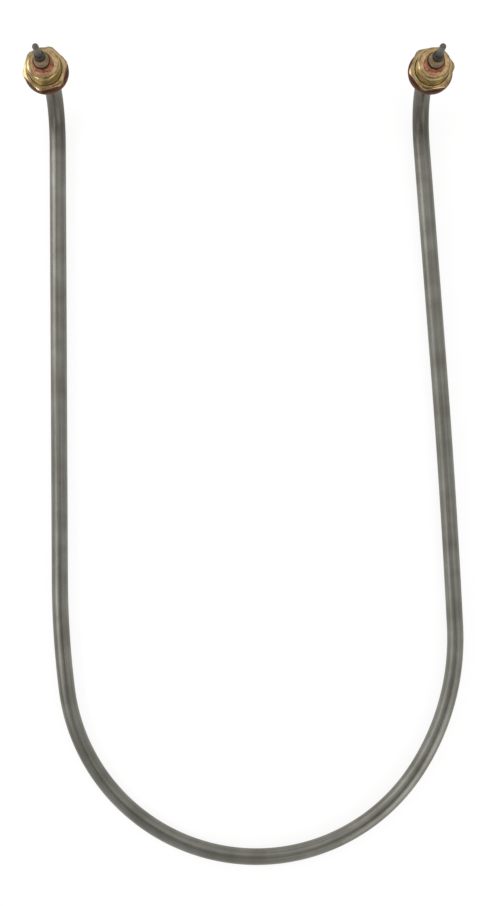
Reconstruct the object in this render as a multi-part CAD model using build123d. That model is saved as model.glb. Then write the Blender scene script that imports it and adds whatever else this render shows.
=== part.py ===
from build123d import *
import math
import os

# A U-bent tubular heating element with two threaded bushings. Millimetres and degrees.
# The U lies flat on the surface z = 0, and both ends of the tube are bent straight up.

# Sheath tube
tube_diameter = 8.0
tube_wall = 0.6
end_bend_radius = 24.0        # centre line of the quarter bend under each fitting

# Plan of the U: straight left leg, four tangent arcs, straight top of the right leg
shank_spacing = 177.5         # between the axes of the two fittings
left_leg_length = 214.2
left_leg_lean = 0.28          # both legs drift to the right on their way down the U
right_leg_lean = 4.41
entry_radius = 448.0          # slack arc that leads from the left leg into the bow
entry_turn = 6.88
exit_radius = 118.5           # arc that leads from the bow into the right leg
exit_turn = 35.8
slack_radius = 4770.0         # the lower half of the right leg is very slightly bowed
slack_turn = 1.57

# Threaded bushing, turned from round bar; heights of its collar are above the surface
seat_height = 43.7            # face of the collar that carries the gasket
collar_diameter = 17.8
collar_thickness = 3.0
collar_chamfer = 0.4
shank_diameter = 15.6
shank_length = 14.3
shank_chamfer = 1.0
braze_gap = 0.05              # between the sheath and the bushing's bore, on the radius

# Gasket and hexagonal nut on the shank
gasket_diameter = 20.8
gasket_thickness = 1.4
gasket_clearance = 0.15       # on the radius, around the shank
nut_flats = 19.0
nut_corner_diameter = 21.0    # the corners of the hexagon are turned down to this
nut_face_diameter = 17.8      # flat face left inside the 30 degree chamfers
nut_height = 5.5
nut_mouth = 0.5               # countersink of the threaded hole
nut_clearance = 0.05          # on the radius, between the two plain thread cylinders
left_nut_turn = 16.0
right_nut_turn = 9.0

# Brazed joint between the bushing and the tube
braze_width = 1.1
braze_height = 3.3

# Tube end: sealing plug, ceramic bead and terminal stud
sheath_stub = 4.5             # tube that stands out of the shank
spigot_depth = 3.0            # of the bead inside the tube
spigot_clearance = 0.1
seal_depth = 6.0
bead_base_diameter = 7.6
bead_top_diameter = 5.8
bead_height = 4.8
bead_edge = 0.6
stud_clearance = 0.05          # between the stud and the bead
stud_head_diameter = 4.3
stud_head_length = 3.6         # thick part that shows above the bead
stud_taper = 0.8
stud_tip_diameter = 2.9
stud_length = 15.2             # above the bead
stud_nose = 1.2                # rounding of the free end

# Inside the sheath
cold_pin_diameter = 3.0
cold_run = 18.0               # of the cold pin along the leg, past the quarter bend
coil_grip = 8.0               # length of the coil that is wound on each cold pin
coil_thickness = 0.45

tube_radius = tube_diameter / 2
bore_radius = tube_radius - tube_wall
shank_radius = shank_diameter / 2
sheath_end = seat_height + shank_length + sheath_stub
shank_end = seat_height + shank_length
seal_top = sheath_end - spigot_depth
seal_bottom = seal_top - seal_depth
bead_top = sheath_end + bead_height
bow_turn = 180 + right_leg_lean - left_leg_lean - entry_turn - exit_turn - slack_turn


def heading(angle):
    """Unit vector in the plane of the U, counterclockwise from +X."""
    return Vector(math.cos(math.radians(angle)), math.sin(math.radians(angle)))


def turn_shift(first, last):
    """Displacement of a left-hand arc of unit radius between two headings."""
    return Vector(
        math.sin(math.radians(last)) - math.sin(math.radians(first)),
        math.cos(math.radians(first)) - math.cos(math.radians(last)),
    )


left_heading = left_leg_lean - 90
right_heading = right_leg_lean + 90
bow_start = left_heading + entry_turn
bow_end = bow_start + bow_turn
exit_end = bow_end + exit_turn
left_axis = Vector(-shank_spacing / 2, 0)
right_axis = Vector(shank_spacing / 2, 0)


def close_the_u():
    """Bow radius and straight right leg that bring the tube to the right-hand axis."""
    reached = left_axis + heading(left_heading) * (end_bend_radius + left_leg_length)
    reached += turn_shift(left_heading, bow_start) * entry_radius
    reached += turn_shift(bow_end, exit_end) * exit_radius
    reached += turn_shift(exit_end, right_heading) * slack_radius
    missing = right_axis - heading(right_heading) * end_bend_radius - reached
    bow = turn_shift(bow_start, bow_end)
    leg = heading(right_heading)
    scale = bow.cross(leg).Z
    return missing.cross(leg).Z / scale, bow.cross(missing).Z / scale


bow_radius, right_leg_length = close_the_u()


def end_run(axis, along, top, past_bend):
    """Edges from the height top down the fitting's axis, round the bend and along the leg."""
    bend_top = Vector(axis.X, axis.Y, tube_radius + end_bend_radius)
    bend_foot = axis + along * end_bend_radius + Vector(0, 0, tube_radius)
    riser = Line(Vector(axis.X, axis.Y, top), bend_top)
    bend = TangentArc(bend_top, bend_foot, tangent=(0, 0, -1))
    leg = Line(bend_foot, bend_foot + along * past_bend)
    return [riser, bend, leg]


def bow_edges():
    """The four arcs of the U, from the left leg's foot to the right leg's foot."""
    foot = left_axis + heading(left_heading) * (end_bend_radius + left_leg_length)
    entry = JernArc(foot + Vector(0, 0, tube_radius), heading(left_heading), entry_radius, entry_turn)
    bow = JernArc(entry @ 1, entry % 1, bow_radius, bow_turn)
    leave = JernArc(bow @ 1, bow % 1, exit_radius, exit_turn)
    slack = JernArc(leave @ 1, leave % 1, slack_radius, slack_turn)
    return [entry, bow, leave, slack]


def full_route(top):
    """Centre line of the whole element between two ends at the height top."""
    left = end_run(left_axis, heading(left_heading), top, left_leg_length)
    right = end_run(right_axis, -heading(right_heading), top, right_leg_length)
    return Wire(left + bow_edges() + right)


def coil_route():
    """Centre line of the heating coil, which grips both cold pins."""
    start = cold_run - coil_grip
    left_foot = left_axis + heading(left_heading) * end_bend_radius + Vector(0, 0, tube_radius)
    right_foot = right_axis - heading(right_heading) * end_bend_radius + Vector(0, 0, tube_radius)
    left = Line(
        left_foot + heading(left_heading) * start,
        left_foot + heading(left_heading) * left_leg_length,
    )
    right = Line(
        right_foot - heading(right_heading) * right_leg_length,
        right_foot - heading(right_heading) * start,
    )
    return Wire([left] + bow_edges() + [right])


def rod(route, radius):
    """Round bar along a route."""
    start = Plane(origin=route @ 0, z_dir=route % 0)
    return sweep(start * Circle(radius), path=route)


def turned(points):
    """Body of revolution about Z from its half section, given as (radius, height) points."""
    outline = Polyline(*[(r, 0, z) for r, z in points], close=True)
    return revolve(make_face(outline), axis=Axis.Z)


def hexagon(flats, corner_diameter, face_diameter, height):
    """Hexagonal prism standing on z = 0, corners turned down, 30 degree chamfers at both faces."""
    corner = corner_diameter / 2
    face = face_diameter / 2
    drop = (corner - face) * math.tan(math.radians(30))
    blank = turned([(0, 0), (face, 0), (corner, drop), (corner, height - drop), (face, height), (0, height)])
    prism = extrude(RegularPolygon(flats / 2, 6, major_radius=False), height)
    return blank & prism


def make_sheath():
    """Stainless tube, one piece from end to end."""
    route = full_route(sheath_end)
    return rod(route, tube_radius) - rod(route, bore_radius)


def make_heating_coil():
    """Envelope of the close-wound resistance coil."""
    route = coil_route()
    inner = cold_pin_diameter / 2
    return rod(route, inner + coil_thickness) - rod(route, inner)


def make_cold_pin(axis, along):
    """Thin pin in the powder: down the riser, round the bend and into the leg."""
    route = Wire(end_run(axis, along, seal_bottom, cold_run))
    return rod(route, cold_pin_diameter / 2)


def make_terminal_stud():
    """Stud welded to the cold pin: thick through the seal and the bead, slimmer at its rounded end."""
    head = stud_head_diameter / 2
    tip = stud_tip_diameter / 2
    step = bead_top + stud_head_length
    top = bead_top + stud_length
    stud = turned([
        (0, seal_bottom), (head, seal_bottom), (head, step),
        (tip, step + stud_taper), (tip, top), (0, top),
    ])
    return fillet(stud.edges().sort_by(Axis.Z)[-1], stud_nose)


def make_magnesia_fill(coil, pins):
    """Compacted powder: fills the sheath around and inside the coil, between the two seals."""
    fill = rod(full_route(seal_bottom), bore_radius) - coil
    for pin in pins:
        fill = fill - pin
    return fill


def make_moisture_seal():
    """Plug of sealing compound between the powder and the bead."""
    stud = stud_head_diameter / 2
    return turned([
        (stud, seal_bottom), (bore_radius, seal_bottom),
        (bore_radius, seal_top), (stud, seal_top),
    ])


def make_ceramic_bead():
    """Insulating bead: spigot in the tube, rim on the tube's end, tapered collar above."""
    hole = stud_head_diameter / 2 + stud_clearance
    spigot = bore_radius - spigot_clearance
    base = bead_base_diameter / 2
    top = bead_top_diameter / 2
    bead = turned([
        (hole, seal_top), (spigot, seal_top), (spigot, sheath_end),
        (base, sheath_end), (top, bead_top), (hole, bead_top),
    ])
    rim = bead.edges().filter_by(GeomType.CIRCLE).group_by(Axis.Z)[-1].sort_by(SortBy.RADIUS)[-1]
    return fillet(rim, bead_edge)


def make_bushing():
    """Threaded bushing with a round collar, bored for the sheath."""
    bore = tube_radius + braze_gap
    collar = collar_diameter / 2
    foot = seat_height - collar_thickness
    return turned([
        (bore, foot), (collar - collar_chamfer, foot), (collar, foot + collar_chamfer), (collar, seat_height),
        (shank_radius, seat_height), (shank_radius, shank_end - shank_chamfer),
        (shank_radius - shank_chamfer, shank_end), (bore, shank_end),
    ])


def make_braze_ring():
    """Fillet of filler metal between the shank's end face and the tube."""
    root = Vector(tube_radius, 0, shank_end)
    foot = root + Vector(braze_width, 0, 0)
    head = root + Vector(0, 0, braze_height)
    hollow = Bezier(foot, (foot + head + root) / 3, head)
    section = make_face([Line(root, foot), hollow, Line(head, root)])
    return revolve(section, axis=Axis.Z)


def make_gasket():
    """Flat sealing washer on the collar."""
    ring = Circle(gasket_diameter / 2) - Circle(shank_radius + gasket_clearance)
    return Pos(0, 0, seat_height) * extrude(ring, gasket_thickness)


def make_nut(turn):
    """Hexagonal nut on the gasket, its hole countersunk at both faces."""
    hole = shank_radius + nut_clearance
    mouth = hole + nut_mouth
    body = Rot(0, 0, turn) * hexagon(nut_flats, nut_corner_diameter, nut_face_diameter, nut_height)
    bore = turned([
        (0, 0), (mouth, 0), (hole, nut_mouth),
        (hole, nut_height - nut_mouth), (mouth, nut_height), (0, nut_height),
    ])
    return Pos(0, 0, seat_height + gasket_thickness) * (body - bore)


def make_all():
    """Every node by name, in the frame of the two fittings."""
    along = {"left": heading(left_heading), "right": -heading(right_heading)}
    turns = {"left": left_nut_turn, "right": right_nut_turn}
    nodes = {"sheath": make_sheath(), "heating_coil": make_heating_coil()}
    for side, axis in (("left", left_axis), ("right", right_axis)):
        place = Pos(axis.X, axis.Y, 0)
        nodes[side + "_cold_pin"] = make_cold_pin(axis, along[side])
        nodes[side + "_terminal_stud"] = place * make_terminal_stud()
        nodes[side + "_moisture_seal"] = place * make_moisture_seal()
        nodes[side + "_ceramic_bead"] = place * make_ceramic_bead()
        nodes[side + "_bushing"] = place * make_bushing()
        nodes[side + "_braze_ring"] = place * make_braze_ring()
        nodes[side + "_gasket"] = place * make_gasket()
        nodes[side + "_nut"] = place * make_nut(turns[side])
    pins = [nodes["left_cold_pin"], nodes["right_cold_pin"]]
    nodes["magnesia_fill"] = make_magnesia_fill(nodes["heating_coil"], pins)
    return nodes


def write_parts():
    """Moves the origin to the middle of the element's footprint and writes one file per node."""
    nodes = make_all()
    solids = [solid for shape in nodes.values() for solid in shape.solids()]
    box = Compound(solids).bounding_box()
    centre = box.center()
    os.makedirs("parts", exist_ok=True)
    for name, shape in nodes.items():
        export_step(Pos(-centre.X, -centre.Y, 0) * shape, "parts/" + name + ".step")
    print("bow radius", round(bow_radius, 3), "right leg", round(right_leg_length, 3))
    print("footprint centre", round(centre.X, 4), round(centre.Y, 4), "size", box.size)


write_parts()
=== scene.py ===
import math

import bmesh
import bpy
from mathutils import Matrix, Vector, noise


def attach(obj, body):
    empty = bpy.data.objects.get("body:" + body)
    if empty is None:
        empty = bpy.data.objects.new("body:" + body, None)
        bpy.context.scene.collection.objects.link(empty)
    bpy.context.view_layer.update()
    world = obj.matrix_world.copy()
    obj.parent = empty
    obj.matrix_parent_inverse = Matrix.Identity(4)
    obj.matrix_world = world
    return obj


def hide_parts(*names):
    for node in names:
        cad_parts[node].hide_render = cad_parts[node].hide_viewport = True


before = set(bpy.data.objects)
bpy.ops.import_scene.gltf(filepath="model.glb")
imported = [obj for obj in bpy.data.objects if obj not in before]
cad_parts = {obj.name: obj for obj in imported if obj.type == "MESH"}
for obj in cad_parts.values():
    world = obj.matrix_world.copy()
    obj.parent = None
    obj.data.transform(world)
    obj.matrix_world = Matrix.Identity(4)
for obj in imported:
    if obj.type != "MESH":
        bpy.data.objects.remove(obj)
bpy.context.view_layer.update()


# Sheath: one length of thin-walled stainless steel tube, drawn to 8 mm, filled with powder, and bent
# cold into the U. Both ends are turned up 90 degrees. The skin is dull, with fine lines along the tube
# from the drawing die, and it is browned by heat where the bushings were brazed on.
mm = 0.001
tube_radius = 4.0 * mm
bore_radius = 3.4 * mm
tube_sides = 64
fittings = {"left": Vector((-94.7874, 183.8921, 0)) * mm, "right": Vector((82.7126, 183.8921, 0)) * mm}
sheath_end = 62.5 * mm
end_bend_radius = 24.0 * mm
bend_rings = 30
bend_top = tube_radius + end_bend_radius
left_leg_lean = 0.28
left_leg_length = 214.2 * mm
right_leg_length = 106.903 * mm
# The four arcs between the legs: radius, turn in degrees, and rings of points along the arc.
bow = ((448.0 * mm, 6.88, 16), (94.061 * mm, 139.88, 90), (118.5 * mm, 35.8, 28), (4770.0 * mm, 1.57, 12))
up = Vector((0, 0, 1))


def level_way(degrees):
    """Unit vector in the plane of the U, counterclockwise from +X."""
    return Vector((math.cos(math.radians(degrees)), math.sin(math.radians(degrees)), 0))


def extend_tube(bm, rims, move, length):
    """Draws the two rims of the tube on by one ring and returns the new rims."""
    as_drawn = bm.verts.layers.float_vector["drawn_tube"]
    grown = bmesh.ops.extrude_edge_only(bm, edges=rims)["geom"]
    verts = [g for g in grown if isinstance(g, bmesh.types.BMVert)]
    bmesh.ops.transform(bm, matrix=move, verts=verts)
    for vert in verts:
        vert[as_drawn] = vert[as_drawn] + up * length
    new = set(verts)
    return [g for g in grown if isinstance(g, bmesh.types.BMEdge) and new.issuperset(g.verts)]


def run_straight(bm, rims, direction, length, steps):
    """A straight run of the tube, from its last rims."""
    for _ in range(steps):
        rims = extend_tube(bm, rims, Matrix.Translation(direction * length / steps), length / steps)
    return rims


def run_bend(bm, rims, centre, axis, degrees, radius, steps):
    """A bend of the tube about an axis through the bend's centre."""
    turn = Matrix.Rotation(math.radians(degrees) / steps, 4, axis)
    move = Matrix.Translation(centre) @ turn @ Matrix.Translation(-centre)
    for _ in range(steps):
        rims = extend_tube(bm, rims, move, math.radians(degrees) * radius / steps)
    return rims


bm = bmesh.new()
as_drawn = bm.verts.layers.float_vector.new("drawn_tube")
for radius in (tube_radius, bore_radius):
    ring = bmesh.ops.create_circle(bm, cap_ends=False, segments=tube_sides, radius=radius)["verts"]
    for vert in ring:
        vert[as_drawn] = vert.co
left_rims = bm.edges[:]
bmesh.ops.translate(bm, verts=bm.verts[:], vec=fittings["left"] + up * sheath_end)

heading = -90 + left_leg_lean
way = level_way(heading)
rims = run_straight(bm, left_rims, -up, sheath_end - bend_top, steps=4)
centre = fittings["left"] + way * end_bend_radius + up * bend_top
rims = run_bend(bm, rims, centre, (-up).cross(way), 90, end_bend_radius, bend_rings)
rims = run_straight(bm, rims, way, left_leg_length, steps=12)
at = centre - up * end_bend_radius + way * left_leg_length
for radius, turn, steps in bow:
    centre = at + level_way(heading + 90) * radius
    rims = run_bend(bm, rims, centre, up, turn, radius, steps)
    heading += turn
    at = centre - level_way(heading + 90) * radius
way = level_way(heading)
rims = run_straight(bm, rims, way, right_leg_length, steps=6)
centre = at + way * right_leg_length + up * end_bend_radius
rims = run_bend(bm, rims, centre, way.cross(up), 90, end_bend_radius, bend_rings)
right_rims = run_straight(bm, rims, up, sheath_end - bend_top, steps=4)
for rims in (left_rims, right_rims):
    bmesh.ops.bridge_loops(bm, edges=rims)
bmesh.ops.recalc_face_normals(bm, faces=bm.faces[:])

# How far each point lies from the nearer end, along the tube.
from_end = bm.verts.layers.float.new("from_brazed_end")
whole = max(vert[as_drawn].z for vert in bm.verts)
for vert in bm.verts:
    vert[from_end] = min(vert[as_drawn].z, whole - vert[as_drawn].z)


def colour(code):
    """Linear RGBA of an sRGB hex colour."""
    parts = [int(code[i:i + 2], 16) / 255 for i in (1, 3, 5)]
    return tuple(c / 12.92 if c <= 0.04045 else ((c + 0.055) / 1.055) ** 2.4 for c in parts) + (1,)


def add_node(tree, kind, inputs=None, stops=None, **settings):
    """Adds a node. An input takes a value, or a link where it is given another node's output."""
    node = tree.nodes.new("ShaderNode" + kind)
    for name, value in settings.items():
        setattr(node, name, value)
    for name, value in (inputs or {}).items():
        if isinstance(value, bpy.types.NodeSocket):
            tree.links.new(value, node.inputs[name])
        else:
            node.inputs[name].default_value = value
    if stops:
        elements = node.color_ramp.elements
        while len(elements) < len(stops):
            elements.new(0.5)
        for element, (place, code) in zip(elements, stops):
            element.position = place
            element.color = colour(code)
    return node


def new_material(name, metallic, roughness, **sockets):
    """A material whose shader has its plain values set on its own sockets."""
    material = bpy.data.materials.new(name)
    material.use_nodes = True
    shader = material.node_tree.nodes["Principled BSDF"]
    shader.inputs["Metallic"].default_value = metallic
    shader.inputs["Roughness"].default_value = roughness
    for socket, value in sockets.items():
        shader.inputs[socket.replace("_", " ")].default_value = value
    return material, material.node_tree, shader


# Drawn stainless steel, left as it came from the die: dull grey, a little green, with soft streaks
# 0.7 mm wide and 70 mm long, stains 11 mm across, and the brown bloom of the brazing heat at the ends.
streaks = 1.4 / mm
streaks_along = 0.014 / mm
stains = 0.09 / mm
heated_length = 85 * mm
heat_wander = 12 * mm
stainless, tree, shader = new_material("drawn_stainless_steel", 1.0, 0.4)
tube = add_node(tree, "Attribute", attribute_name="drawn_tube").outputs["Vector"]
lines = add_node(tree, "Mapping", {"Vector": tube, "Scale": (streaks, streaks, streaks_along)})
streak = add_node(tree, "TexNoise", {"Vector": lines.outputs["Vector"], "Scale": 1.0, "Detail": 4.0,
                                     "Roughness": 0.6})
cloud = add_node(tree, "TexNoise", {"Vector": tube, "Scale": stains, "Detail": 3.0})
tone = add_node(tree, "ValToRGB", {"Fac": streak.outputs["Fac"]},
                stops=[(0.25, "#77766d"), (0.5, "#86857e"), (0.75, "#95948c")])
dulled = add_node(tree, "ValToRGB", {"Fac": cloud.outputs["Fac"]}, stops=[(0.3, "#dcdad6"), (0.7, "#ffffff")])
skin = add_node(tree, "Mix", {"Factor": 1.0, "A": tone.outputs["Color"], "B": dulled.outputs["Color"]},
                data_type="RGBA", blend_type="MULTIPLY")
end = add_node(tree, "Attribute", attribute_name="from_brazed_end").outputs["Fac"]
ragged = add_node(tree, "Math", {0: cloud.outputs["Fac"], 1: heat_wander, 2: end}, operation="MULTIPLY_ADD")
heat = add_node(tree, "MapRange", {"Value": ragged.outputs["Value"], "From Min": 0.0,
                                   "From Max": heated_length})
browned = add_node(tree, "ValToRGB", {"Fac": heat.outputs["Result"]},
                   stops=[(0.05, "#a87a60"), (0.12, "#8f6a56"), (0.2, "#cbc2b8"), (0.62, "#cfccc6"),
                          (0.8, "#c0beb8"), (1.0, "#ffffff")])
skin = add_node(tree, "Mix", {"Factor": 1.0, "A": skin.outputs["Result"], "B": browned.outputs["Color"]},
                data_type="RGBA", blend_type="MULTIPLY")
tree.links.new(skin.outputs["Result"], shader.inputs["Base Color"])
rubbed = add_node(tree, "MapRange", {"Value": streak.outputs["Fac"], "To Min": 0.3, "To Max": 0.56})
tree.links.new(rubbed.outputs["Result"], shader.inputs["Roughness"])
relief = add_node(tree, "Bump", {"Height": streak.outputs["Fac"], "Strength": 0.35, "Distance": 0.04 * mm})
tree.links.new(relief.outputs["Normal"], shader.inputs["Normal"])


def add_piece(bm, name, materials, smooth_angle=35):
    """Makes the mesh a piece that stands for the CAD node of the same name and rides on the part."""
    mesh = bpy.data.meshes.new(name + "_piece")
    bm.to_mesh(mesh)
    bm.free()
    mesh.shade_smooth()
    mesh.set_sharp_from_angle(angle=math.radians(smooth_angle))
    for material in materials:
        mesh.materials.append(material)
    piece = bpy.data.objects.new(name + "_piece", mesh)
    bpy.context.scene.collection.objects.link(piece)
    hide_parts(name)
    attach(piece, "root")


add_piece(bm, "sheath", [stainless])


# Inside the sheath: the resistance coil, the powder that holds it, the two cold pins that carry the
# current round the end bends, and the plugs of compound that keep damp out. All are closed in by the
# tube, so the model's own solids stand, and each only gets the finish of its material.
insides = (
    # Name, metallic, roughness, grains to the metre, detail, darkest and palest colour, and its pieces.
    # Resistance wire, drawn bright: warm grey metal with a fine grain, 0.7 mm.
    ("nickel_chromium_wire", 1.0, 0.35, 1.5 / mm, 3.0, "#8b8680", "#a8a39b", ["heating_coil"]),
    # Magnesia, pressed hard as the tube was drawn: chalky white, with a grain of 0.4 mm.
    ("compacted_magnesia_powder", 0.0, 0.9, 2.5 / mm, 4.0, "#dedad0", "#f1eee6", ["magnesia_fill"]),
    # Mild steel rod, drawn: plain grey metal with a grain of 0.8 mm.
    ("drawn_pin_steel", 1.0, 0.4, 1.2 / mm, 3.0, "#7c7b78", "#989792", ["left_cold_pin", "right_cold_pin"]),
    # Silicone, poured in and cured: pale and half matt, with clouds of 1.1 mm.
    ("cast_silicone_compound", 0.0, 0.55, 0.9 / mm, 3.0, "#c9c6ba", "#dbd8cd",
     ["left_moisture_seal", "right_moisture_seal"]),
)
for name, metallic, roughness, grains, detail, low, high, nodes in insides:
    material, tree, shader = new_material(name, metallic, roughness)
    place = add_node(tree, "TexCoord").outputs["Object"]
    grain = add_node(tree, "TexNoise", {"Vector": place, "Scale": grains, "Detail": detail})
    tone = add_node(tree, "ValToRGB", {"Fac": grain.outputs["Fac"]}, stops=[(0.3, low), (0.7, high)])
    tree.links.new(tone.outputs["Color"], shader.inputs["Base Color"])
    for node in nodes:
        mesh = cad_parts[node].data
        if not mesh.materials:
            mesh.materials.append(material)
        for slot in range(len(mesh.materials)):
            mesh.materials[slot] = material


# Threaded bushings: turned from round brass bar, with a collar, a 15.6 mm thread of fine pitch and a
# bore for the tube. The end of the shank is worn round. They are bright from the lathe, with fine rings
# on the end face, and dull in the thread, which is darkened with painted shade. Each is brazed to its end of
# the tube.

# From here on, radii and heights above the foot of the U are in millimetres.
collar_foot = 40.7
seat_height = 43.7
collar_radius = 8.9
collar_chamfer = 0.4
bushing_bore = 4.05
shank_radius = 7.8
shank_end = 58.0
pitch = 1.25
thread_depth = 0.7
turns = 14
steps_per_turn = 60
# The worn end: where the thread stops under it, how far it is sunk in, and its outline from the end
# face outwards, as radius and depth below that face.
cap_foot = 56.6
cap_sunk = 0.2
cap_radius = 7.68
worn_round = ((5.4, 0), (6.1, 0.04), (6.7, 0.17), (7.15, 0.4), (7.45, 0.72), (7.62, 1.1))
round_steps = 96
# Points nearer than this are merged, and points this near a cut lie on it.
weld = 0.002 * mm
cut_width = 0.0005 * mm


def lathe(profile, closed=True, steps=round_steps):
    """Turns a half section, given as radius and height in millimetres, about Z."""
    turned = bmesh.new()
    verts = [turned.verts.new((radius * mm, 0, height * mm)) for radius, height in profile]
    pairs = list(zip(verts, verts[1:] + verts[:1]))
    edges = [turned.edges.new(pair) for pair in (pairs if closed else pairs[:-1])]
    bmesh.ops.spin(turned, geom=verts + edges, cent=(0, 0, 0), axis=(0, 0, 1),
                   angle=2 * math.pi, steps=steps, use_merge=True)
    bmesh.ops.remove_doubles(turned, verts=turned.verts[:], dist=weld)
    bmesh.ops.recalc_face_normals(turned, faces=turned.faces[:])
    return turned


def set_on_axis(piece, axis):
    """Keeps each point's place on the lathe for the turning marks, and moves the piece to its fitting."""
    spun = piece.verts.layers.float_vector.new("on_lathe")
    for vert in piece.verts:
        vert[spun] = vert.co
    bmesh.ops.translate(piece, verts=piece.verts[:], vec=axis)


def cut_thread():
    """The threaded part of the shank, its bore and its ends, about Z."""
    shank = bmesh.new()
    root = shank_radius - thread_depth
    low = seat_height - 2 * pitch
    # One turn in section: radius, and height as a share of the pitch.
    ridge = [(root, 0), (root, 0.1), (shank_radius, 0.45), (shank_radius, 0.58), (root, 0.93), (root, 1)]
    verts = [shank.verts.new((radius * mm, 0, (low + part * pitch) * mm)) for radius, part in ridge]
    edges = [shank.edges.new(pair) for pair in zip(verts, verts[1:])]
    bmesh.ops.spin(shank, geom=verts + edges, cent=(0, 0, 0), axis=(0, 0, 1),
                   dvec=(0, 0, pitch * mm / steps_per_turn), angle=2 * math.pi * turns,
                   steps=steps_per_turn * turns)
    bmesh.ops.remove_doubles(shank, verts=shank.verts[:], dist=weld)
    for height, away in ((seat_height, -up), (cap_foot, up)):
        cut = bmesh.ops.bisect_plane(shank, geom=shank.verts[:] + shank.edges[:] + shank.faces[:],
                                     plane_co=up * height * mm, plane_no=away, clear_outer=True,
                                     dist=cut_width)["geom_cut"]
        rim = [g for g in cut if isinstance(g, bmesh.types.BMEdge)]
        ring = bmesh.ops.create_circle(shank, cap_ends=False, segments=round_steps,
                                       radius=bushing_bore * mm)["verts"]
        bmesh.ops.translate(shank, verts=ring, vec=up * height * mm)
        mouth = list({edge for vert in ring for edge in vert.link_edges})
        bmesh.ops.triangle_fill(shank, use_beauty=True, edges=rim + mouth, normal=up)
    bores = [edge for edge in shank.edges if edge.is_boundary]
    bmesh.ops.bridge_loops(shank, edges=bores)
    bmesh.ops.recalc_face_normals(shank, faces=shank.faces[:])
    return shank


# Turned brass: yellow and bright, clouded in patches of 4 mm, with rings from the tool a quarter of a
# millimetre apart that broaden its highlights.
turned_brass, tree, shader = new_material("turned_brass", 1.0, 0.3)
spun = add_node(tree, "Attribute", attribute_name="on_lathe").outputs["Vector"]
flat = add_node(tree, "VectorMath", {0: spun, 1: (1, 1, 0)}, operation="MULTIPLY")
reach = add_node(tree, "VectorMath", {0: flat.outputs["Vector"]}, operation="LENGTH")
height = add_node(tree, "SeparateXYZ", {"Vector": spun})
marks = add_node(tree, "CombineXYZ", {"X": reach.outputs["Value"], "Y": height.outputs["Z"]})
rings = add_node(tree, "TexNoise", {"Vector": marks.outputs["Vector"], "Scale": 4.0 / mm, "Detail": 2.0})
cloud = add_node(tree, "TexNoise", {"Vector": spun, "Scale": 0.26 / mm, "Detail": 5.0, "Roughness": 0.65})
tone = add_node(tree, "ValToRGB", {"Fac": cloud.outputs["Fac"]},
                stops=[(0.3, "#8f7a50"), (0.5, "#b39a70"), (0.7, "#d6c19c")])
lined = add_node(tree, "ValToRGB", {"Fac": rings.outputs["Fac"]}, stops=[(0.3, "#dcd6cc"), (0.7, "#ffffff")])
skin = add_node(tree, "Mix", {"Factor": 1.0, "A": tone.outputs["Color"], "B": lined.outputs["Color"]},
                data_type="RGBA", blend_type="MULTIPLY")
tree.links.new(skin.outputs["Result"], shader.inputs["Base Color"])
polish = add_node(tree, "MapRange", {"Value": cloud.outputs["Fac"], "To Min": 0.32, "To Max": 0.14})
tree.links.new(polish.outputs["Result"], shader.inputs["Roughness"])
relief = add_node(tree, "Bump", {"Height": rings.outputs["Fac"], "Strength": 0.5, "Distance": 0.06 * mm})
tree.links.new(relief.outputs["Normal"], shader.inputs["Normal"])

# Cut thread: the same brass, painted a darker olive brown as painted shade in the thread, clouded in
# patches of 3 mm. The colour darkens further towards the root, as painted shade in the grooves.
threaded_brass, tree, shader = new_material("thread_brass_painted_shade", 1.0, 0.4)
spun = add_node(tree, "Attribute", attribute_name="on_lathe").outputs["Vector"]
flat = add_node(tree, "VectorMath", {0: spun, 1: (1, 1, 0)}, operation="MULTIPLY")
reach = add_node(tree, "VectorMath", {0: flat.outputs["Vector"]}, operation="LENGTH")
cloud = add_node(tree, "TexNoise", {"Vector": spun, "Scale": 0.35 / mm, "Detail": 4.0})
tone = add_node(tree, "ValToRGB", {"Fac": cloud.outputs["Fac"]},
                stops=[(0.3, "#6a5a30"), (0.5, "#866f3f"), (0.72, "#a89062")])
# Painted shade: the colour is darker towards the root of the thread.
painted_root_shade = add_node(tree, "MapRange", {"Value": reach.outputs["Value"], "To Min": 0.45, "To Max": 1.0,
                                     "From Min": (shank_radius - thread_depth) * mm,
                                     "From Max": (shank_radius - 0.1) * mm})
shade = add_node(tree, "VectorMath", {0: tone.outputs["Color"], "Scale": painted_root_shade.outputs["Result"]},
                 operation="SCALE")
tree.links.new(shade.outputs["Vector"], shader.inputs["Base Color"])

for side, axis in fittings.items():
    bushing = lathe([(bushing_bore, collar_foot), (collar_radius - collar_chamfer, collar_foot),
                     (collar_radius, collar_foot + collar_chamfer), (collar_radius, seat_height),
                     (bushing_bore, seat_height)])
    cap = lathe([(bushing_bore, cap_foot - cap_sunk), (bushing_bore, shank_end)]
                + [(radius, shank_end - depth) for radius, depth in worn_round]
                + [(cap_radius, cap_foot), (cap_radius, cap_foot - cap_sunk)])
    thread = cut_thread()
    for face in thread.faces:
        if face.calc_center_median().xy.length > (bushing_bore + 1) * mm:
            face.material_index = 1
    for part in (cap, thread):
        turned = bpy.data.meshes.new("part_of_bushing")
        part.to_mesh(turned)
        part.free()
        bushing.from_mesh(turned)
        bpy.data.meshes.remove(turned)
    set_on_axis(bushing, axis)
    add_piece(bushing, side + "_bushing", [turned_brass, threaded_brass])


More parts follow.
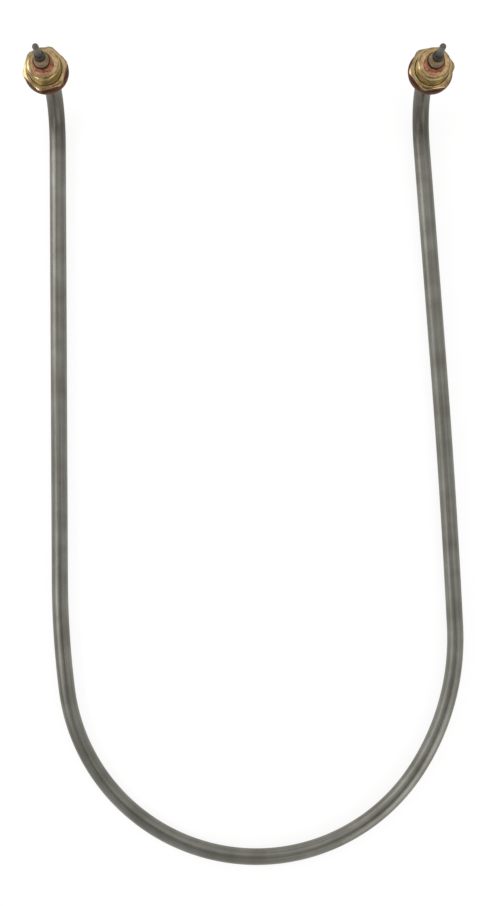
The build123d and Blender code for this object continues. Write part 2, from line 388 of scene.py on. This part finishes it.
# Gaskets: flat washers punched from red-brown silicone sheet, squeezed a little between the collar
# and the nut, so their rims bulge. The rubber is matt, clouded in patches of 2 mm, with a 0.2 mm grain.
gasket_radius = 10.4
gasket_hole = 7.95
gasket_top = 45.1
rim_edge = 0.3
rim_bulge = 0.08
rim_rise = 0.25
silicone, tree, shader = new_material("silicone_rubber", 0.0, 0.65)
spun = add_node(tree, "Attribute", attribute_name="on_lathe").outputs["Vector"]
cloud = add_node(tree, "TexNoise", {"Vector": spun, "Scale": 0.5 / mm, "Detail": 4.0})
grain = add_node(tree, "TexNoise", {"Vector": spun, "Scale": 5.0 / mm, "Detail": 2.0})
tone = add_node(tree, "ValToRGB", {"Fac": cloud.outputs["Fac"]},
                stops=[(0.3, "#4b2d20"), (0.5, "#5d3a2b"), (0.75, "#714b39")])
tree.links.new(tone.outputs["Color"], shader.inputs["Base Color"])
relief = add_node(tree, "Bump", {"Height": grain.outputs["Fac"], "Strength": 0.25, "Distance": 0.05 * mm})
tree.links.new(relief.outputs["Normal"], shader.inputs["Normal"])

for side, axis in fittings.items():
    gasket = lathe([(gasket_hole, seat_height), (gasket_radius - rim_edge, seat_height),
                    (gasket_radius - rim_bulge, seat_height + rim_rise),
                    (gasket_radius, (seat_height + gasket_top) / 2),
                    (gasket_radius - rim_bulge, gasket_top - rim_rise),
                    (gasket_radius - rim_edge, gasket_top), (gasket_hole, gasket_top)])
    set_on_axis(gasket, axis)
    add_piece(gasket, side + "_gasket", [silicone], smooth_angle=50)


# Nuts: hexagonal, 19 mm across flats, cut from brass bar with the corners turned down and both faces
# chamfered. The faces are bright from the lathe. The flats and turned-down corners are painted dark brown as
# painted shade and a dark reflection.
nut_top = 50.6
nut_flats = 19.0
nut_corner = 10.5
nut_face = 8.9
nut_hole = 7.85
nut_mouth = 8.1
countersink = 0.25
worn_edge = 0.12
chamfer_drop = (nut_corner - nut_face) * math.tan(math.radians(30))
tightened = {"left": 16, "right": 9}


def mill_flats(blank, across, first):
    """Cuts six flats on a turned blank; their faces take the second material."""
    for side in range(6):
        normal = level_way(first + 60 * side)
        cut = bmesh.ops.bisect_plane(blank, geom=blank.verts[:] + blank.edges[:] + blank.faces[:],
                                     plane_co=normal * across / 2 * mm, plane_no=normal,
                                     clear_outer=True, dist=cut_width)["geom_cut"]
        edges = [g for g in cut if isinstance(g, bmesh.types.BMEdge)]
        for face in bmesh.ops.edgenet_fill(blank, edges=edges)["faces"]:
            face.material_index = 1
    bmesh.ops.recalc_face_normals(blank, faces=blank.faces[:])


# Flats and turned-down corners: the same brass, painted dark brown as painted shade and a painted dark
# reflection, with a brown specular tint, clouded in patches of 2 mm, with draw lines 0.4 mm wide and 6 mm
# long, and not machined.
flats_painted_shade_brass, tree, shader = new_material("brass_bar_painted_shade", 0.7, 0.36, Specular_Tint=colour("#a8743c"))
spun = add_node(tree, "Attribute", attribute_name="on_lathe").outputs["Vector"]
cloud = add_node(tree, "TexNoise", {"Vector": spun, "Scale": 0.42 / mm, "Detail": 4.0})
drawn = add_node(tree, "Mapping", {"Vector": spun, "Scale": (2.6 / mm, 2.6 / mm, 0.16 / mm)})
lines = add_node(tree, "TexNoise", {"Vector": drawn.outputs["Vector"], "Scale": 1.0, "Detail": 3.0})
tone = add_node(tree, "ValToRGB", {"Fac": cloud.outputs["Fac"]},
                stops=[(0.3, "#4a2f11"), (0.55, "#66441b"), (0.75, "#835e2c")])
lined = add_node(tree, "ValToRGB", {"Fac": lines.outputs["Fac"]}, stops=[(0.3, "#d0c8bc"), (0.7, "#ffffff")])
skin = add_node(tree, "Mix", {"Factor": 1.0, "A": tone.outputs["Color"], "B": lined.outputs["Color"]},
                data_type="RGBA", blend_type="MULTIPLY")
tree.links.new(skin.outputs["Result"], shader.inputs["Base Color"])
relief = add_node(tree, "Bump", {"Height": lines.outputs["Fac"], "Strength": 0.3, "Distance": 0.04 * mm})
tree.links.new(relief.outputs["Normal"], shader.inputs["Normal"])

for side, axis in fittings.items():
    nut = lathe([(nut_mouth, gasket_top), (nut_face, gasket_top), (nut_corner, gasket_top + chamfer_drop),
                 (nut_corner, nut_top - chamfer_drop), (nut_face, nut_top), (nut_mouth, nut_top),
                 (nut_hole, nut_top - countersink), (nut_hole, gasket_top + countersink)])
    # The turned-down corners take the dark finish of the flats: painted shade over their reflection of the
    # floor.
    for face in nut.faces:
        if abs(face.normal.z) < 0.1 and face.calc_center_median().xy.length > nut_face * mm:
            face.material_index = 1
    mill_flats(nut, nut_flats, 30 + tightened[side])
    flats = [face for face in nut.faces if face.material_index == 1]
    bmesh.ops.bevel(nut, geom=list({edge for face in flats for edge in face.edges}), offset=worn_edge * mm,
                    offset_type="OFFSET", segments=2, profile=0.5, affect="EDGES", material=-1)
    set_on_axis(nut, axis)
    add_piece(nut, side + "_nut", [turned_brass, flats_painted_shade_brass])


# Brazed joints: a fillet of copper-red filler run in between the bushing's end face and the tube.
# It froze uneven, a little fuller on one side, and heat has left it matt, in blotches of 1.4 mm.

# Outline of the fillet: radius, and height above the end face.
fillet = ((4.0, 0), (5.3, 0), (4.9, 0.2), (4.5, 0.55), (4.28, 1.15), (4.14, 1.9), (4.06, 2.7), (4.0, 3.3))
# Where round the tube each fillet is fullest, in degrees, and which run of lumps it has.
pooled = {"left": (300, 3.0), "right": (235, 8.0)}
# Shares of the outline's width: all round, more on the full side and less opposite, and in lumps.
kept_width = 0.75
swell = 0.35
lumps = 0.3
lumps_round = 1.6
lumps_up = 0.4
filler, tree, shader = new_material("copper_braze_filler", 0.6, 0.45)
spun = add_node(tree, "Attribute", attribute_name="on_lathe").outputs["Vector"]
cloud = add_node(tree, "TexNoise", {"Vector": spun, "Scale": 0.7 / mm, "Detail": 5.0, "Roughness": 0.6})
tone = add_node(tree, "ValToRGB", {"Fac": cloud.outputs["Fac"]},
                stops=[(0.36, "#5a3320"), (0.43, "#955c42"), (0.55, "#b0765a"), (0.72, "#c0917a")])
tree.links.new(tone.outputs["Color"], shader.inputs["Base Color"])
dull = add_node(tree, "MapRange", {"Value": cloud.outputs["Fac"], "To Min": 0.6, "To Max": 0.35})
tree.links.new(dull.outputs["Result"], shader.inputs["Roughness"])
relief = add_node(tree, "Bump", {"Height": cloud.outputs["Fac"], "Strength": 0.4, "Distance": 0.2 * mm})
tree.links.new(relief.outputs["Normal"], shader.inputs["Normal"])

for side, axis in fittings.items():
    fullest, seed = pooled[side]
    braze = lathe([(radius, shank_end + rise) for radius, rise in fillet], steps=72)
    for vert in braze.verts:
        outward = Vector((vert.co.x, vert.co.y, 0))
        if outward.length > tube_radius + 0.02 * mm:
            way = outward.normalized()
            along = seed + vert.co.z / mm * lumps_up
            lump = noise.noise(Vector((way.x * lumps_round, way.y * lumps_round, along)))
            spread = kept_width + swell * way.dot(level_way(fullest)) + lumps * lump
            vert.co = vert.co + way * (spread - 1) * (outward.length - tube_radius)
    set_on_axis(braze, axis)
    add_piece(braze, side + "_braze_ring", [filler], smooth_angle=60)


# Insulating beads: pressed and fired steatite, unglazed, with a collar that tapers towards the
# terminal. The spigot sits in the end of the tube. The fired skin is matt and grey-brown, clouded in
# patches of 2 mm, with a grain of 0.3 mm.
bead_foot = 62.5
bead_top = 67.3
bead_hole = 2.2
spigot_radius = 3.3
spigot_depth = 3
# Outline of the collar: radius and height above its foot, then radius and depth below its top.
bead_base = ((3.46, 0), (3.56, 0.12))
bead_crown = ((3.02, 0.62), (2.9, 0.3), (2.72, 0.08), (2.45, 0), (2.3, 0.04), (bead_hole, 0.15))
steatite, tree, shader = new_material("unglazed_steatite", 0.0, 0.6)
spun = add_node(tree, "Attribute", attribute_name="on_lathe").outputs["Vector"]
cloud = add_node(tree, "TexNoise", {"Vector": spun, "Scale": 0.45 / mm, "Detail": 4.0})
grain = add_node(tree, "TexNoise", {"Vector": spun, "Scale": 3.5 / mm, "Detail": 3.0})
tone = add_node(tree, "ValToRGB", {"Fac": cloud.outputs["Fac"]},
                stops=[(0.3, "#5c482c"), (0.55, "#735c3d"), (0.75, "#917e58")])
tree.links.new(tone.outputs["Color"], shader.inputs["Base Color"])
relief = add_node(tree, "Bump", {"Height": grain.outputs["Fac"], "Strength": 0.3, "Distance": 0.06 * mm})
tree.links.new(relief.outputs["Normal"], shader.inputs["Normal"])

for side, axis in fittings.items():
    bead = lathe([(bead_hole, bead_foot - spigot_depth), (spigot_radius, bead_foot - spigot_depth),
                  (spigot_radius, bead_foot)] + [(radius, bead_foot + rise) for radius, rise in bead_base]
                 + [(radius, bead_top - depth) for radius, depth in bead_crown])
    set_on_axis(bead, axis)
    add_piece(bead, side + "_ceramic_bead", [steatite], smooth_angle=40)


# Terminal studs: steel, thick where they pass the bead and slimmer at the rounded free end, for a
# clamped lead. The thick part is dark with oxide in specks of 0.7 mm, and the free end was rubbed
# brighter by its connector.
stud_foot = 53.5
stud_radius = 2.15
stem_radius = 1.45
stud_tip = 82.5
nose = 1.2
# Outline of the step from the thick part to the stem: radius and height.
stud_step = [(stud_radius, 70.75), (2.08, 70.95), (1.5, 71.65), (stem_radius, 71.8)]
rubbed_from = 71.0
rubbed_to = 81.0
oxidised, tree, shader = new_material("oxidised_stud_steel", 0.85, 0.5)
spun = add_node(tree, "Attribute", attribute_name="on_lathe").outputs["Vector"]
speck = add_node(tree, "TexNoise", {"Vector": spun, "Scale": 1.5 / mm, "Detail": 3.0, "Roughness": 0.7})
height = add_node(tree, "SeparateXYZ", {"Vector": spun})
dark = add_node(tree, "ValToRGB", {"Fac": speck.outputs["Fac"]},
                stops=[(0.38, "#1f1d17"), (0.56, "#35322a"), (0.7, "#615e50")])
bright = add_node(tree, "ValToRGB", {"Fac": speck.outputs["Fac"]}, stops=[(0.3, "#4c4a42"), (0.7, "#7d7b72")])
rubbed = add_node(tree, "MapRange", {"Value": height.outputs["Z"], "From Min": rubbed_from * mm,
                                     "From Max": rubbed_to * mm})
skin = add_node(tree, "Mix", {"Factor": rubbed.outputs["Result"], "A": dark.outputs["Color"],
                              "B": bright.outputs["Color"]}, data_type="RGBA")
tree.links.new(skin.outputs["Result"], shader.inputs["Base Color"])
relief = add_node(tree, "Bump", {"Height": speck.outputs["Fac"], "Strength": 0.3, "Distance": 0.1 * mm})
tree.links.new(relief.outputs["Normal"], shader.inputs["Normal"])

rounded_nose = [(stem_radius - nose + nose * math.sin(math.radians(a)),
                 stud_tip - nose + nose * math.cos(math.radians(a))) for a in range(90, -1, -15)]
for side, axis in fittings.items():
    stud = lathe([(0, stud_foot), (stud_radius, stud_foot)] + stud_step + rounded_nose + [(0, stud_tip)],
                 closed=False, steps=64)
    set_on_axis(stud, axis)
    add_piece(stud, side + "_terminal_stud", [oxidised], smooth_angle=40)


# Studio: a pale floor that keeps the shadow, soft lamps from the left, above and the near right, a dark
# card over the near side that draws a darker line along the tube, and the camera.
def add_panel(name, half_width, place, material):
    """A flat square of the studio, level with the floor."""
    bm = bmesh.new()
    bmesh.ops.create_grid(bm, x_segments=1, y_segments=1, size=half_width)
    mesh = bpy.data.meshes.new(name)
    bm.to_mesh(mesh)
    bm.free()
    mesh.materials.append(material)
    panel = bpy.data.objects.new(name, mesh)
    panel.location = place
    bpy.context.scene.collection.objects.link(panel)
    return panel


# White paper: it glows for the camera and in reflections, so it shows white, and is lit as paper is
# for the share that keeps the shadow.
glow_share = 0.8
paper, tree, shader = new_material("matt_white_paper", 0.0, 0.9)
shader.inputs["Base Color"].default_value = colour("#f2f2f0")
rays = add_node(tree, "LightPath").outputs
seen = add_node(tree, "Math", {0: rays["Is Camera Ray"], 1: rays["Is Glossy Ray"]}, operation="MAXIMUM")
seen = add_node(tree, "Math", {0: seen.outputs["Value"], 1: rays["Is Transmission Ray"]}, operation="MAXIMUM")
share = add_node(tree, "Math", {0: seen.outputs["Value"], 1: glow_share}, operation="MULTIPLY")
glow = add_node(tree, "Emission", {"Color": (1, 1, 1, 1), "Strength": 1.06})
both = add_node(tree, "MixShader", {0: share.outputs["Value"], 1: shader.outputs["BSDF"],
                                    2: glow.outputs["Emission"]})
tree.links.new(both.outputs["Shader"], tree.nodes["Material Output"].inputs["Surface"])
add_panel("floor", half_width=3.0, place=(0, 0, 0), material=paper)

# Felt: dark grey and quite matt. Only the tube's and the fittings' gloss sees the card.
felt, tree, shader = new_material("dark_grey_felt", 0.0, 1.0)
shader.inputs["Base Color"].default_value = colour("#3c3c3a")
card = add_panel("card", half_width=0.22, place=(0.05, -0.25, 0.75), material=felt)
card.visible_camera = False
card.visible_diffuse = False
card.visible_shadow = False

world = bpy.data.worlds.new("studio")
bpy.context.scene.world = world
world.use_nodes = True
tree = world.node_tree
rays = add_node(tree, "LightPath").outputs
lit = add_node(tree, "Background", {"Color": (1, 1, 1, 1), "Strength": 0.66})
white = add_node(tree, "Background", {"Color": (1, 1, 1, 1), "Strength": 1.0})
view = add_node(tree, "MixShader", {0: rays["Is Camera Ray"], 1: lit.outputs["Background"],
                                    2: white.outputs["Background"]})
tree.links.new(view.outputs["Shader"], tree.nodes["World Output"].inputs["Surface"])


def add_lamp(name, place, aim, size, watts):
    """A square soft lamp that points at a spot on the object."""
    lamp = bpy.data.lights.new(name, "AREA")
    lamp.size = size
    lamp.energy = watts
    piece = bpy.data.objects.new(name, lamp)
    piece.location = place
    piece.rotation_euler = (Vector(aim) - Vector(place)).to_track_quat("-Z", "Y").to_euler()
    bpy.context.scene.collection.objects.link(piece)


add_lamp("window", place=(-0.46, 0.24, 0.26), aim=(-0.04, 0.06, 0.03), size=0.3, watts=0.8)
add_lamp("ceiling", place=(0.22, 0.5, 0.75), aim=(0.05, 0.1, 0.03), size=0.9, watts=1.2)
add_lamp("lamp", place=(-0.32, -0.1, 0.27), aim=(0, 0.1, 0.04), size=0.09, watts=0.2)
add_lamp("fill", place=(0.45, -0.5, 0.38), aim=(0, -0.05, 0), size=0.5, watts=1.3)

camera = bpy.data.objects.new("camera", bpy.data.cameras.new("camera"))
camera.data.lens = 53.64
camera.data.sensor_width = 36
camera.data.shift_x = 0.01877
camera.data.shift_y = 0.03035
camera.data.clip_start = 0.01
camera.location = (-0.01154, -0.00499, 0.669)
bpy.context.scene.collection.objects.link(camera)
bpy.context.scene.camera = camera
bpy.context.scene.view_settings.view_transform = "Standard"
